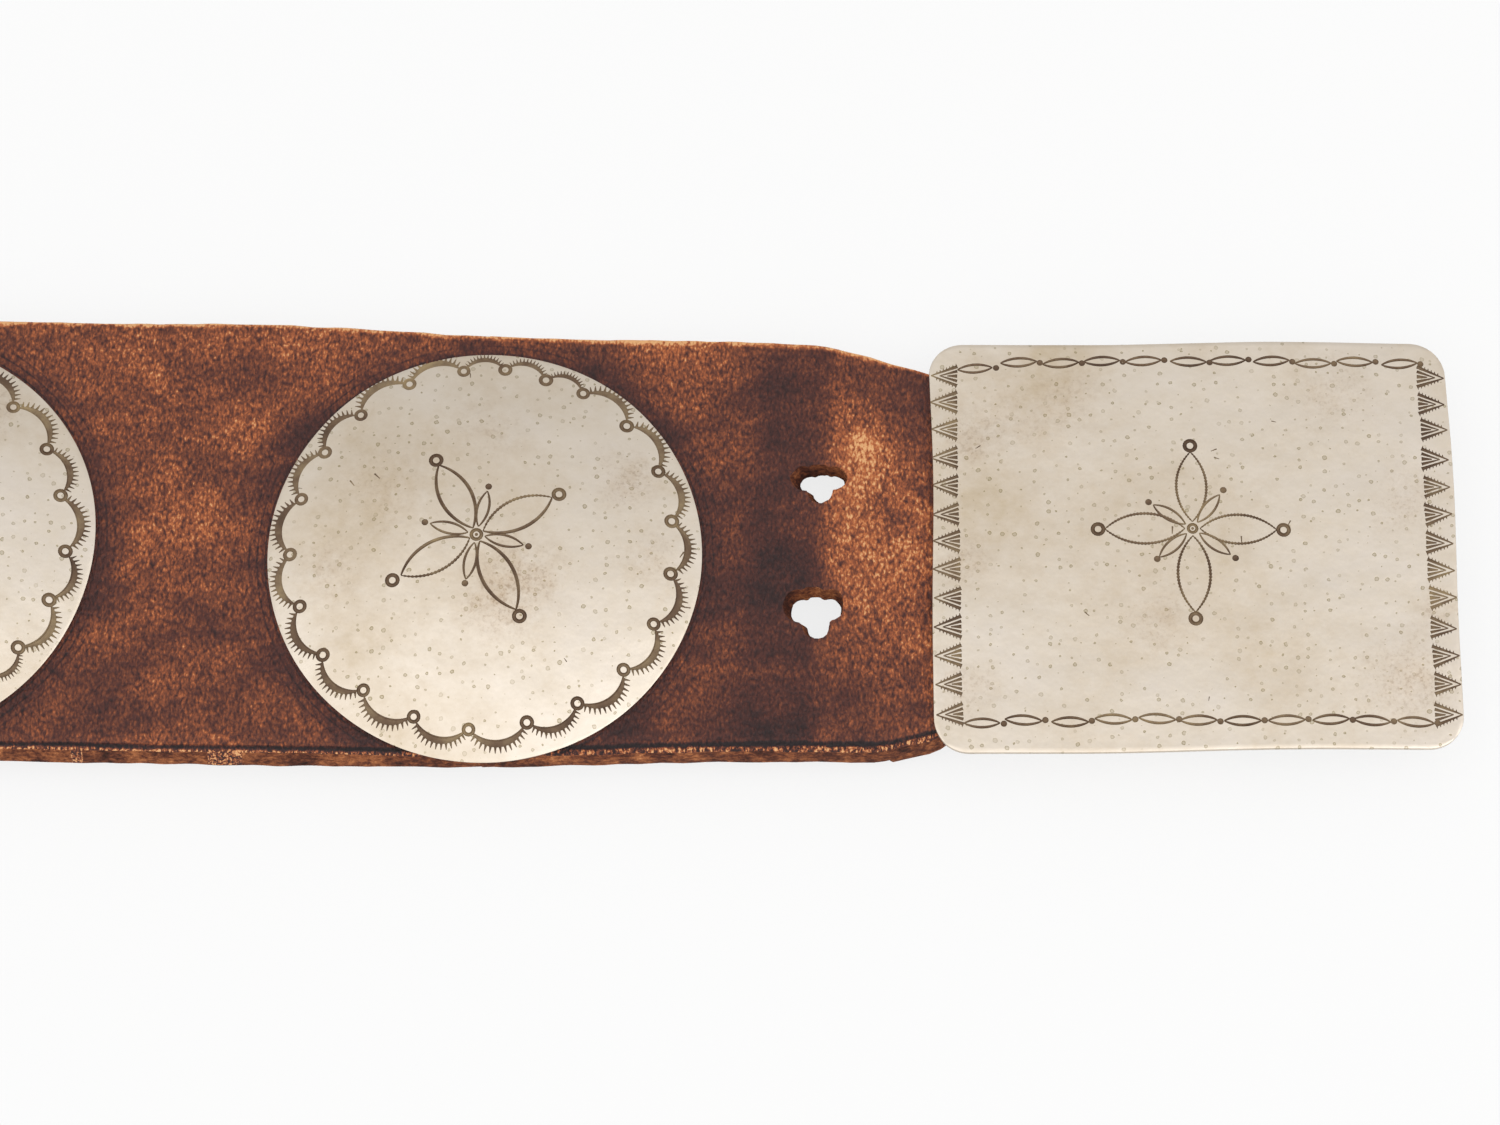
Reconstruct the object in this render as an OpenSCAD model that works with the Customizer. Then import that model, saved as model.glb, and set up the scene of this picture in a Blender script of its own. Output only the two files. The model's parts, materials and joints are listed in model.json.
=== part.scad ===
// Wide leather strap set with round domed metal conchos, closed by a rectangular
// plate buckle with two tongues. Millimetres, face up, +X towards the buckle.

/* [Strap] */
// Width of the strap
strap_w = 107; // [92:1:120]
// Thickness of the strap leather
strap_t = 4.5; // [3.7:0.1:5.6]
// Width of the narrowed tail that passes through the buckle
tail_w = 84; // [64:1:86]
// Length of the ramp where the strap narrows and comes down to its tail
ramp_l = 62; // [50:1:80]
// Length of the flat tail past the ramp
tail_l = 150; // [145:1:200]
// Radius of the tail tip's corners
tail_corner_r = 24; // [6:1:30]
// Gap between the two rounded faces of a bend line
bend_gap = 0.3; // [0.25:0.05:0.5]

/* [Conchos] */
// Diameter of a concho
concho_d = 101.6; // [85:0.1:110]
// Rise of a concho's dome over its rim
concho_rise = 8; // [6:0.5:12]
// Thickness of the concho sheet
concho_t = 1.2; // [0.8:0.1:1.6]
// Distance between concho centres
concho_pitch = 141.6; // [125:0.1:170]
// Distance from the buckle plate's inner edge to the first concho's centre
first_concho = 103.7; // [98:0.1:125]

/* [Concho loops] */
// Distance between a loop's two legs, inside
loop_span = 22; // [19:1:30]
// Width of the loop strip along the strap
loop_w = 8; // [6:0.5:12]
// Thickness of the loop strip
loop_t = 1.6; // [1.2:0.1:2]
// Length of the leather keeper that locks a loop
keeper_l = 70; // [50:1:84]
// Side room between the keeper and the loop's legs
keeper_room = 1.5; // [0.5:0.1:3]
// Room around the keeper, top and bottom
keeper_slack = 0.3; // [0.2:0.05:0.6]

/* [Buckle plate] */
// Length of the plate along the strap
plate_l = 123.5; // [115:0.5:145]
// Height of the plate across the strap
plate_h = 101.6; // [98:0.1:125]
// Thickness of the plate sheet
plate_t = 1.4; // [1:0.1:1.8]
// Radius of the plate's corners
plate_corner_r = 8; // [4:0.5:14]
// Rise of the plate's middle over its two ends
plate_sag = 1.5; // [0.5:0.1:3]
// Gap between the plate's inner edge and the strap
plate_gap = 0.8; // [0.5:0.1:2]

/* [Buckle bars] */
// Diameter of the heel bar and of the outer bar
bar_d = 4.4; // [3.6:0.1:5.2]
// Distance from the plate's inner edge to the heel bar
heel_inset = 20; // [19:0.5:26]
// Distance from the heel bar to the outer bar
bar_spacing = 50; // [40:1:60]
// Height left over the outer bar for a strap end
throat = 5.3; // [4.8:0.1:7]
// Thickness of a cheek
cheek_t = 2.5; // [2:0.1:3]
// Side room between the turned end and each cheek
cheek_room = 0.9; // [0.6:0.1:2]

/* [Tongues] */
// Distance between the two tongues, and between the two holes of each pair
tongue_spacing = 32; // [26:1:40]
// Diameter of a tongue
tongue_d = 3.2; // [2.6:0.1:3.3]
// Width of the eye that turns on the heel bar
eye_w = 5; // [4:0.5:6]
// Length of a tongue past the outer bar
tongue_over = 3.5; // [2:0.5:6]

/* [Holes] */
// Distance from the plate's inner edge to the tie holes
tie_offset = 26; // [24:0.5:28]
// Diameter of a tail hole
hole_d = 6; // [5:0.1:7]
// Distance between neighbouring hole pairs
hole_pitch = 25; // [20:0.5:26]
// Distance from the tail tip to the first pair
hole_end = 24; // [20:1:30]

/* [Hidden] */
$fn = 72;
concho_count = 6;
pair_count = 5;
// Small hand-set shifts of each concho across the strap.
concho_shift = [-2.7, 1.5, -1, 0.5, -1.5, 1];

// Heights, from the ground up.
bar_r = bar_d / 2;
fold_clear = 0.1;                       // leather around the heel bar
fold_r = bar_r + fold_clear;
flap_t = 2;                             // skived end of the strap
keeper_t = strap_t;                     // cut from the same hide
strap_z = max(loop_t + keeper_slack * 2 + keeper_t, 2 * fold_r + flap_t + 0.1);
strap_top = strap_z + strap_t;
mid_z = strap_z + strap_t / 2;
heel_z = strap_z - fold_r;
plate_under = strap_top + plate_gap + plate_sag;   // under the plate's middle

// Places along the strap, as distances from the buckle plate's outer end.
heel_at = plate_l - heel_inset;
outer_at = heel_at - bar_spacing;
tie_at = plate_l + tie_offset;
concho_at = [for (i = [0:concho_count - 1]) plate_l + first_concho + i * concho_pitch];
bend_count = concho_count + 2;
first_bend_at = (concho_at[0] - concho_d / 2 + tie_at + 6.9) / 2;
ramp_start_at = concho_at[concho_count - 1] + concho_pitch / 2;
ramp_end_at = ramp_start_at + ramp_l;
total_l = ramp_end_at + tail_l;
bend_at = concat(
    [first_bend_at],
    [for (i = [1:concho_count - 1]) (concho_at[i - 1] + concho_at[i]) / 2],
    [ramp_start_at, ramp_end_at]);
ramp_drop = strap_z;
ramp_angle = atan(ramp_drop / ramp_l);

// Curved sheets.
dome_r = (pow(concho_d / 2, 2) + pow(concho_rise, 2)) / (2 * concho_rise);
dome_centre_z = strap_top + concho_rise - dome_r;
plate_r = (pow(plate_l / 2, 2) + pow(plate_sag, 2)) / (2 * plate_sag);
plate_centre_z = plate_under - plate_r;
solder_gap = 0.1;

// Narrowed end of the strap inside the buckle.
taper_start = tie_at - 1;               // where the sides begin to run in
cheek_in = plate_h / 2 - 4.7 - cheek_t;
heel_half_w = cheek_in - cheek_room;
outer_z = plate_under - plate_sag * pow((plate_l / 2 - outer_at) / (plate_l / 2), 2) - throat - bar_r;
eye_r = heel_z - 0.15;
eye_clear = 0.08;
tongue_rest = 0.3;                      // gap to the outer bar at rest
slot_w = eye_w + 1.5;
slot_back = eye_r + 0.8;
flap_l = 30;

// Rivets of the turned end.
rivet_back = 11.5;
rivet_r = 1.6;
rivet_head_r = 3.4;
rivet_head_t = 0.8;
rivet_y = [-33, 0, 33];

BIG = 400;

// Place along X of a distance from the buckle's outer end.
function along(distance) = total_l / 2 - distance;

// A shape drawn with x along the strap and y as height, extruded across the strap.
module across(width) {
    rotate([90, 0, 0]) linear_extrude(height = width, center = true) children();
}

// Side view of a length of strap between two bend lines. Its left end is hollow and
// its right end is round, both about the bend line, so that two lengths turn in each other.
module strap_side(left_x, right_x, left_hollow, right_round) {
    difference() {
        union() {
            translate([left_x, strap_z]) square([right_x - left_x, strap_t]);
            if (right_round) translate([right_x, mid_z]) circle(r = strap_t / 2);
        }
        if (left_hollow) translate([left_x, mid_z]) circle(r = strap_t / 2 + bend_gap);
    }
}

// Three-lobed hole of a lace or tie, worn wide.
module tie_hole(y) {
    lobe_r = 2.9;
    translate([along(tie_at), y, strap_z - 1]) linear_extrude(height = strap_t + 2) {
        translate([0, 1]) circle(r = 3.4);
        translate([-3.9, 1.5]) circle(r = lobe_r);
        translate([3.9, 1.5]) circle(r = lobe_r);
        translate([0, -3.4]) circle(r = 2.8);
    }
}

// Slots of one concho loop's two legs.
module loop_slots(i) {
    for (side = [-1, 1])
        translate([along(concho_at[i]) - loop_w / 2 - 0.4,
                   concho_shift[i] + side * (loop_span / 2 + loop_t / 2) - loop_t / 2 - 0.3,
                   strap_z - 1])
            cube([loop_w + 0.8, loop_t + 0.6, strap_t + 2]);
}

// End of the strap that turns back round the heel bar: drawn from the side.
module turned_end_side() {
    hx = along(heel_at);
    bottom_z = heel_z - fold_r - flap_t;
    outer_r = (strap_top - bottom_z) / 2;
    difference() {
        union() {
            strap_side(along(bend_at[0]), hx, true, false);
            intersection() {
                translate([hx, bottom_z + outer_r]) circle(r = outer_r);
                translate([hx - 0.5, bottom_z - 1]) square([outer_r + 1.5, 2 * outer_r + 2]);
            }
            polygon([[hx, heel_z], [hx - 1.2, heel_z - fold_r + 0.3], [hx - 7, strap_z],
                     [hx - 7, strap_z + 0.5], [hx - flap_l, strap_z + 0.5],
                     [hx - flap_l, strap_z - flap_t], [hx - 7.8, strap_z - flap_t],
                     [hx - 1.2, bottom_z], [hx, bottom_z]]);
        }
        translate([hx, heel_z]) circle(r = fold_r);
    }
}

module strap_buckle_end() {
    hx = along(heel_at);
    wide_x = along(taper_start);
    narrow_x = hx - bar_r - 4;              // clear of the cheeks
    half = strap_w / 2;
    color("saddlebrown") difference() {
        intersection() {
            across(strap_w) turned_end_side();
            translate([0, 0, -1]) linear_extrude(height = BIG)
                polygon([[along(bend_at[0]) - 5, -half], [wide_x, -half],
                         [narrow_x, -heel_half_w], [hx + 12, -heel_half_w],
                         [hx + 12, heel_half_w], [narrow_x, heel_half_w],
                         [wide_x, half], [along(bend_at[0]) - 5, half]]);
        }
        for (side = [-1, 1]) {
            tie_hole(side * tongue_spacing / 2);
            translate([hx - slot_back, side * tongue_spacing / 2 - slot_w / 2, -1])
                cube([slot_back + 12, slot_w, strap_top + 2]);
        }
        for (y = rivet_y)
            translate([hx - rivet_back, y, 0]) cylinder(r = rivet_r, h = strap_top + 1);
    }
}

// Length of strap that carries concho number i.
module strap_span(i) {
    color("saddlebrown") difference() {
        across(strap_w) strap_side(along(bend_at[i + 1]), along(bend_at[i]), true, true);
        loop_slots(i);
    }
}

// Length that narrows and comes down to the tail.
module strap_ramp() {
    top_x = along(bend_at[bend_count - 2]);
    low_x = along(bend_at[bend_count - 1]);
    half = strap_w / 2;
    low = tail_w / 2;
    slope_l = ramp_l / cos(ramp_angle);
    color("saddlebrown") intersection() {
        translate([top_x, 0, mid_z]) rotate([0, -ramp_angle, 0])
            translate([-top_x, 0, -mid_z])
                across(strap_w) strap_side(top_x - slope_l, top_x, true, true);
        translate([0, 0, -5]) linear_extrude(height = BIG)
            polygon([[low_x - 5, -low], [low_x + 6, -low], [top_x - 6, -half], [top_x + 5, -half],
                     [top_x + 5, half], [top_x - 6, half], [low_x + 6, low], [low_x - 5, low]]);
    }
}

// Flat tail with its pairs of holes and rounded tip.
module strap_tail() {
    tip_x = along(total_l);
    root_x = along(bend_at[bend_count - 1]);
    low = tail_w / 2;
    r = tail_corner_r;
    color("saddlebrown") difference() {
        intersection() {
            translate([0, 0, -strap_z]) across(tail_w) strap_side(tip_x, root_x, false, true);
            translate([0, 0, -1]) linear_extrude(height = strap_t + 2) {
                translate([tip_x + r, -low]) square([tail_l - r + strap_t, tail_w]);
                translate([tip_x, -low + r]) square([tail_l, tail_w - 2 * r]);
                for (side = [-1, 1]) translate([tip_x + r, side * (low - r)]) circle(r = r);
            }
        }
        for (k = [0:pair_count - 1], side = [-1, 1])
            translate([tip_x + hole_end + k * hole_pitch, side * tongue_spacing / 2, -1])
                cylinder(d = hole_d, h = strap_t + 2);
    }
}

// Domed round sheet that stands on its rim.
module concho(i) {
    color("silver") translate([along(concho_at[i]), concho_shift[i], 0]) intersection() {
        translate([0, 0, dome_centre_z]) difference() {
            sphere(r = dome_r, $fn = 128);
            sphere(r = dome_r - concho_t, $fn = 128);
        }
        translate([0, 0, strap_top]) cylinder(d = concho_d + 2, h = concho_rise + 1);
    }
}

// Strip bent to a U, its legs through the strap and soldered under the dome.
module concho_loop(i) {
    outer = loop_span + 2 * loop_t;
    color("peru") translate([along(concho_at[i]), concho_shift[i], 0]) {
        intersection() {
            difference() {
                translate([-loop_w / 2, -outer / 2, 0]) cube([loop_w, outer, strap_top + concho_rise]);
                translate([-loop_w, -loop_span / 2, loop_t])
                    cube([2 * loop_w, loop_span, strap_top + concho_rise]);
            }
            translate([0, 0, dome_centre_z])
                sphere(r = dome_r - concho_t - solder_gap, $fn = 128);
        }
    }
}

// Offcut of the hide pushed through the loop behind the strap.
module loop_keeper(i) {
    keeper_w = loop_span - 2 * keeper_room;
    end_r = keeper_w / 2;
    color("sienna") translate([along(concho_at[i]), concho_shift[i], loop_t + keeper_slack])
        linear_extrude(height = keeper_t) {
            translate([-keeper_l / 2 + end_r, -end_r]) square([keeper_l - 2 * end_r, keeper_w]);
            for (side = [-1, 1]) translate([side * (keeper_l / 2 - end_r), 0]) circle(r = end_r);
        }
}

module fold_rivets() {
    color("peru") for (y = rivet_y) translate([along(heel_at) - rivet_back, y, 0]) {
        translate([0, 0, strap_z - flap_t - rivet_head_t - 0.4])
            cylinder(r = rivet_r - 0.05, h = strap_t + flap_t + rivet_head_t + 0.5);
        translate([0, 0, strap_top]) cylinder(r = rivet_head_r, h = rivet_head_t - 0.1);
    }
}

module rivet_burrs() {
    color("peru") for (y = rivet_y)
        translate([along(heel_at) - rivet_back, y, strap_z - flap_t - rivet_head_t]) difference() {
            cylinder(r = rivet_head_r, h = rivet_head_t);
            translate([0, 0, -1]) cylinder(r = rivet_r, h = rivet_head_t + 2);
        }
}

// Sheet with round corners, gently curved along the strap.
module buckle_plate() {
    x0 = along(plate_l);
    r = plate_corner_r;
    color("silver") intersection() {
        translate([along(plate_l / 2), 0, plate_centre_z]) across(plate_h) difference() {
            circle(r = plate_r + plate_t, $fn = 256);
            circle(r = plate_r, $fn = 256);
        }
        linear_extrude(height = plate_under + plate_t + 5) {
            translate([x0 + r, -plate_h / 2]) square([plate_l - 2 * r, plate_h]);
            translate([x0, -plate_h / 2 + r]) square([plate_l, plate_h - 2 * r]);
            for (sx = [r, plate_l - r], sy = [-1, 1])
                translate([x0 + sx, sy * (plate_h / 2 - r)]) circle(r = r);
        }
    }
}

// Upright strip soldered to the plate's back, bored for both bars.
module cheek(side) {
    hx = along(heel_at);
    ox = along(outer_at);
    lug = bar_r + 2;
    color("darkkhaki") translate([0, side * (cheek_in + cheek_t / 2), 0]) across(cheek_t)
        difference() {
            intersection() {
                union() {
                    translate([hx - lug, heel_z]) square([ox - hx + 2 * lug, BIG]);
                    translate([hx, heel_z]) circle(r = lug);
                    polygon([[hx, heel_z - lug], [ox, outer_z - lug], [ox + lug, outer_z],
                             [ox + lug, outer_z + 1], [hx, outer_z + 1]]);
                }
                translate([along(plate_l / 2), plate_centre_z])
                    circle(r = plate_r - solder_gap, $fn = 256);
                translate([hx - lug, 0.1]) square([ox - hx + 2 * lug, BIG]);
            }
            translate([hx, heel_z]) circle(r = bar_r);
            translate([ox, outer_z]) circle(r = bar_r);
        }
}

// Round bar from cheek to cheek, filed flush at both ends.
module bar(at, z) {
    color("peru") translate([along(at), 0, z]) rotate([90, 0, 0])
        cylinder(d = bar_d, h = 2 * (cheek_in + cheek_t), center = true);
}

// Tongue: an eye on the heel bar and a rod that lies under the outer bar.
module tongue(side) {
    hx = along(heel_at);
    rod_z = outer_z - bar_r - tongue_rest - tongue_d / 2;
    pitch_angle = atan((heel_z - rod_z) / bar_spacing);
    rod_l = bar_spacing + tongue_over - tongue_d / 2;
    color("peru") translate([hx, side * tongue_spacing / 2, heel_z]) difference() {
        union() {
            rotate([90, 0, 0]) cylinder(r = eye_r, h = eye_w, center = true);
            rotate([0, 90 + pitch_angle, 0]) {
                cylinder(d = tongue_d, h = rod_l);
                translate([0, 0, rod_l]) sphere(d = tongue_d);
            }
        }
        rotate([90, 0, 0]) cylinder(r = bar_r + eye_clear, h = eye_w + 2, center = true);
    }
}

strap_buckle_end();
for (i = [1:concho_count]) {
    strap_span(i - 1);
    concho(i - 1);
    concho_loop(i - 1);
    loop_keeper(i - 1);
}
strap_ramp();
strap_tail();
fold_rivets();
rivet_burrs();
buckle_plate();
cheek(1);  // cheek_upper
cheek(-1);  // cheek_lower
bar(heel_at, heel_z);  // heel_bar
bar(outer_at, outer_z);  // outer_bar
tongue(1);  // tongue_upper
tongue(-1);  // tongue_lower
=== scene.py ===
import json
import math
import random

import bpy
from mathutils import Matrix, Vector, noise


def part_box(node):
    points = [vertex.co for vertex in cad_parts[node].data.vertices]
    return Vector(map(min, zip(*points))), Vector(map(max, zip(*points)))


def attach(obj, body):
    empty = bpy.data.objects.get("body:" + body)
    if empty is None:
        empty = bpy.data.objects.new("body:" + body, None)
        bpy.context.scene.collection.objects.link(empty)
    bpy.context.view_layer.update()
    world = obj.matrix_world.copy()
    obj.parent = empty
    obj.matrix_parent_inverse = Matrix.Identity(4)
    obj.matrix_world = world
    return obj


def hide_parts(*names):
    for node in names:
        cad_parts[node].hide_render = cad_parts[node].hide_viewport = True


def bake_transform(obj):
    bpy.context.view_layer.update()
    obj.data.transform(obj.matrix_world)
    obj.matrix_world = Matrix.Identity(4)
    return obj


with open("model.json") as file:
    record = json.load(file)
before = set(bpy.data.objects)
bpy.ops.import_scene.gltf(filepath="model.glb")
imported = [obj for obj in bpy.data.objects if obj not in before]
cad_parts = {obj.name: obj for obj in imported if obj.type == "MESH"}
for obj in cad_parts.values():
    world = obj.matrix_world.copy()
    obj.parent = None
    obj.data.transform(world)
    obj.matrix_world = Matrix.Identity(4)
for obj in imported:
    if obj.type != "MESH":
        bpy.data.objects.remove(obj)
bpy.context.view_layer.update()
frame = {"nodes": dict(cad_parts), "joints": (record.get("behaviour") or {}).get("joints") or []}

scene = bpy.context.scene


# Table, daylight and camera.
# A white table under an overcast window: an even white sky, one wide soft lamp over the near
# left and a weaker one on the right. The camera stands at the near side, 20 degrees off plumb.

def linear(colour):
    """A colour written as sRGB hex, in linear light."""
    parts = [int(colour[i:i + 2], 16) / 255 for i in (1, 3, 5)]
    return (*[p / 12.92 if p <= 0.04045 else ((p + 0.055) / 1.055) ** 2.4 for p in parts], 1.0)


def add(tree, kind, inputs=None, stops=None, **settings):
    """Adds one node: its own settings, a ramp's stops, and each socket's value or link.
    A node given as a value stands for its first output."""
    made = tree.nodes.new("ShaderNode" + kind)
    for name, value in settings.items():
        setattr(made, name, value)
    for place, (at, shade) in enumerate(stops or []):
        ramp = made.color_ramp.elements
        stop = ramp[place] if place < 2 else ramp.new(at)
        stop.position = at
        stop.color = linear(shade) if isinstance(shade, str) else (shade, shade, shade, 1)
    for socket, value in (inputs or {}).items():
        if isinstance(value, bpy.types.Node):
            value = value.outputs[0]
        if isinstance(value, bpy.types.NodeSocket):
            tree.links.new(value, made.inputs[socket])
        else:
            made.inputs[socket].default_value = value
    return made


plate_low, plate_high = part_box("buckle_plate")
span_low, span_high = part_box("strap_span_1")
leather_top = span_high[2]
seen = Vector((plate_high[0] - 0.1655, -0.0041, leather_top))
distance, view_width = 1.05, 0.3495
camera = bpy.data.cameras.new("camera")
camera.sensor_width = 36
camera.lens = 36 * distance / view_width
camera.clip_start, camera.clip_end = 0.05, 20
camera_stand = bpy.data.objects.new("camera", camera)
tilt = math.radians(20)
camera_stand.location = seen + distance * Vector((0, -math.sin(tilt), math.cos(tilt)))
camera_stand.rotation_euler = (tilt, 0, 0)
scene.collection.objects.link(camera_stand)
scene.camera = camera_stand
scene.view_settings.view_transform = "Standard"

sky = bpy.data.worlds.new("overcast_sky")
scene.world = sky
sky.use_nodes = True
tree = sky.node_tree
tree.nodes.clear()
ray = add(tree, "LightPath")
straight = add(tree, "Math", {0: ray.outputs["Is Camera Ray"],
               1: ray.outputs["Is Transmission Ray"]}, operation="MAXIMUM")
# Polished metal sees the near side of the sky, the window's, brighter than the far side.
where = add(tree, "TexCoord")
side = add(tree, "SeparateXYZ", {0: where.outputs["Generated"]})
dull = add(tree, "MapRange", {"Value": side.outputs["Y"], "From Min": -0.1, "From Max": 0.75,
           "To Min": 1.07, "To Max": 0.73})
soft = add(tree, "Math", {0: ray.outputs["Is Glossy Ray"], 1: dull}, operation="MULTIPLY")
plain = add(tree, "Math", {0: soft, 1: 0.73}, operation="MAXIMUM")
level = add(tree, "Math", {0: straight, 1: plain}, operation="MAXIMUM")
light = add(tree, "Background", {"Color": (1, 1, 1, 1), "Strength": level})
add(tree, "OutputWorld", {"Surface": light})

for name, size, watts, spot in (("window_lamp", 2.4, 6.5, (-0.45, -0.75, 1.25)),
                                ("fill_lamp", 1.0, 2.5, (0.9, -0.35, 1.1))):
    lamp = bpy.data.lights.new(name, "AREA")
    lamp.shape, lamp.size, lamp.energy = "SQUARE", size, watts
    hung = bpy.data.objects.new(name, lamp)
    hung.location = seen + Vector(spot)
    hung.rotation_euler = (-Vector(spot)).to_track_quat("-Z", "Y").to_euler()
    scene.collection.objects.link(hung)


def bare_finish(name):
    """A new material with nothing in its node tree yet."""
    material = bpy.data.materials.new(name)
    material.use_nodes = True
    material.node_tree.nodes.clear()
    return material


# White table. It lets part of a straight look through to the white sky, so that a strap
# that bends below its level in another pose can still be seen.
bpy.ops.object.select_all(action="DESELECT")
bpy.ops.mesh.primitive_plane_add(size=6, location=(0, 0, -0.0004))
table = bpy.context.object
table.name = "table"
white = bare_finish("white_table")
tree = white.node_tree
ray = add(tree, "LightPath")
matt = add(tree, "BsdfDiffuse", {"Color": linear("#f7f7f6")})
clear = add(tree, "BsdfTransparent")
share = add(tree, "Math", {0: ray.outputs["Is Camera Ray"], 1: 0.80}, operation="MULTIPLY")
both = add(tree, "MixShader", {0: share, 1: matt, 2: clear})
add(tree, "OutputMaterial", {"Surface": both})
table.data.materials.append(white)


# Strap.
# One length of heavy vegetable-tanned cowhide, 4.5 mm thick, cut by hand and never quite
# straight. The grain side is waxed and worn, the cut edges are raw, the back is flesh side.

concho_boxes = [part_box(f"concho_{i}") for i in range(1, 7)]
concho_middles = [((low[0] + high[0]) / 2, (low[1] + high[1]) / 2) for low, high in concho_boxes]
concho_radius = 0.0508
heel_low, heel_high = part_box("heel_bar")
heel_x, heel_z = (heel_low[0] + heel_high[0]) / 2, (heel_low[2] + heel_high[2]) / 2
bar_radius = (heel_high[2] - heel_low[2]) / 2
tail_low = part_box("strap_tail")[0]
end_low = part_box("strap_buckle_end")[0]
hide = span_high[2] - span_low[2]
flat_middle = (span_high[2] + span_low[2]) / 2
bends = {joint["name"]: joint["pos_m"] for joint in frame["joints"]}
ramp_top, ramp_foot = bends["bend_7"][0], bends["bend_8"][0]
tie_x = plate_low[0] - 0.026
heel_half = 0.0425
tail_upper, tail_lower = 0.0415, -0.0413
tip_round = 0.024
tongue_sides = (-0.016, 0.016)


def eased(value, low, high):
    """Rises smoothly from 0 to 1 while value goes from low to high."""
    t = min(max((value - low) / (high - low), 0), 1)
    return t * t * (3 - 2 * t)


def strap_edges(x):
    """Lower and upper edge of the strap at a place along it."""
    wander = 0.0007 * math.sin(x * 23 + 0.8) + 0.0004 * math.sin(x * 61)
    upper = 0.0514 + 0.0290 * min(max(tie_x + 0.002 - x, 0), 0.19) + wander
    lower = -0.0521 + 0.0009 * math.sin((x - 0.40) * 30) + 0.5 * wander
    for start, slope in ((tie_x - 0.0002, -0.315), (tie_x + 0.0115, 0.31)):
        past = max(x - start, 0)
        fall = slope * past * past / (past + 0.0045)
        upper, lower = (upper + fall, lower) if slope < 0 else (upper, lower + fall)
    narrow = eased(x, heel_x - 0.020, heel_x - 0.006)
    upper += narrow * (heel_half - upper)
    lower += narrow * (-heel_half - lower)
    slim = 1 - eased(x, ramp_foot - 0.002, ramp_top + 0.006)
    upper += slim * (tail_upper - upper)
    lower += slim * (tail_lower - lower)
    tip = tail_low[0] + tip_round - x
    if tip > 0:
        cut = tip_round - math.sqrt(max(tip_round ** 2 - tip ** 2, 0))
        upper -= cut
        lower += cut
    return lower, upper


def strap_middle(x):
    """Height of the middle of the hide."""
    return hide / 2 + (flat_middle - hide / 2) * eased(x, ramp_foot - 0.009, ramp_top + 0.007)


def strap_run(start, stop):
    """Places from start to stop, about 2.6 mm apart."""
    count = max(2, round(abs(stop - start) / 0.0026))
    return [start + (stop - start) * k / count for k in range(count + 1)]


def cut_hide(name, outline, joins):
    """A length of hide from its side view, a closed list of (x, z) points. The ends at the
    x values in joins meet the next length, so their edges stay square."""
    bpy.ops.object.select_all(action="DESELECT")
    bpy.ops.mesh.primitive_circle_add(vertices=len(outline), radius=1, fill_type="NGON")
    piece = bpy.context.object
    piece.name = name
    for vertex, (x, z) in zip(piece.data.vertices, outline):
        vertex.co = (x, -1, z)
    bpy.ops.object.mode_set(mode="EDIT")
    for x in sorted({x for x, z in outline})[1:-1]:
        bpy.ops.mesh.select_all(action="SELECT")
        bpy.ops.mesh.bisect(plane_co=(x, 0, 0), plane_no=(1, 0, 0), threshold=0.00002)
    bpy.ops.mesh.select_all(action="SELECT")
    bpy.ops.mesh.extrude_region_move(TRANSFORM_OT_translate={"value": (0, 2, 0)})
    for row in [-0.975, -0.95, -0.925] + [-0.88 + 0.055 * k for k in range(33)] + [0.94, 0.972]:
        bpy.ops.mesh.select_all(action="SELECT")
        bpy.ops.mesh.bisect(plane_co=(0, row, 0), plane_no=(0, 1, 0))
    bpy.ops.mesh.select_all(action="SELECT")
    bpy.ops.mesh.normals_make_consistent(inside=False)
    bpy.ops.object.mode_set(mode="OBJECT")
    # Out to the hand-cut edges; the lower one is cut on a slant and has a pressed line
    # beside it, and the grain side is gently uneven.
    for vertex in piece.data.vertices:
        x, row, z = vertex.co
        lower, upper = strap_edges(x)
        y = lower + (row + 1) / 2 * (upper - lower)
        on_grain = x < heel_x - 0.002 and z > strap_middle(x)
        if on_grain:
            slant = 0.0012 + 0.0010 * eased(tie_x - x, 0.05, 0.12)
            if row < -0.9:
                y += slant * (1 - (row + 1) / 0.1)
            if -0.96 < row < -0.94:
                z -= 0.00030
            if row > 0.99:
                z -= 0.0003
            z += 0.0002 * noise.noise(Vector((x * 42, y * 42, 3)))
        if abs(row) == 1:
            y += 0.00035 * noise.noise(Vector((x * 160, row * 5, z * 260)))
        vertex.co = (x, y, z)
    piece.data.update()
    sides = {}
    for face in piece.data.polygons:
        for key in face.edge_keys:
            sides.setdefault(key, []).append(face.normal.copy())
    rounded = []
    for edge in piece.data.edges:
        beside = sides.get(edge.key, [])
        sharp = len(beside) == 2 and beside[0].angle(beside[1], 0.0) > math.radians(55)
        ends = [piece.data.vertices[i].co.x for i in edge.vertices]
        joined = any(max(abs(x - join) for x in ends) < 0.00001 for join in joins)
        rounded.append(float(sharp and not joined))
    piece.data.attributes.new("bevel_weight_edge", "FLOAT", "EDGE").data.foreach_set("value", rounded)
    round_off = piece.modifiers.new("edge", "BEVEL")
    round_off.width, round_off.segments, round_off.limit_method = 0.0005, 2, "WEIGHT"
    round_off.use_clamp_overlap = True
    bpy.ops.object.modifier_apply(modifier="edge")
    piece.data.attributes.remove(piece.data.attributes["bevel_weight_edge"])
    return piece


def pick_out(piece):
    """Selects one piece and nothing else."""
    bpy.ops.object.select_all(action="DESELECT")
    bpy.context.view_layer.objects.active = piece
    piece.select_set(True)


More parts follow.
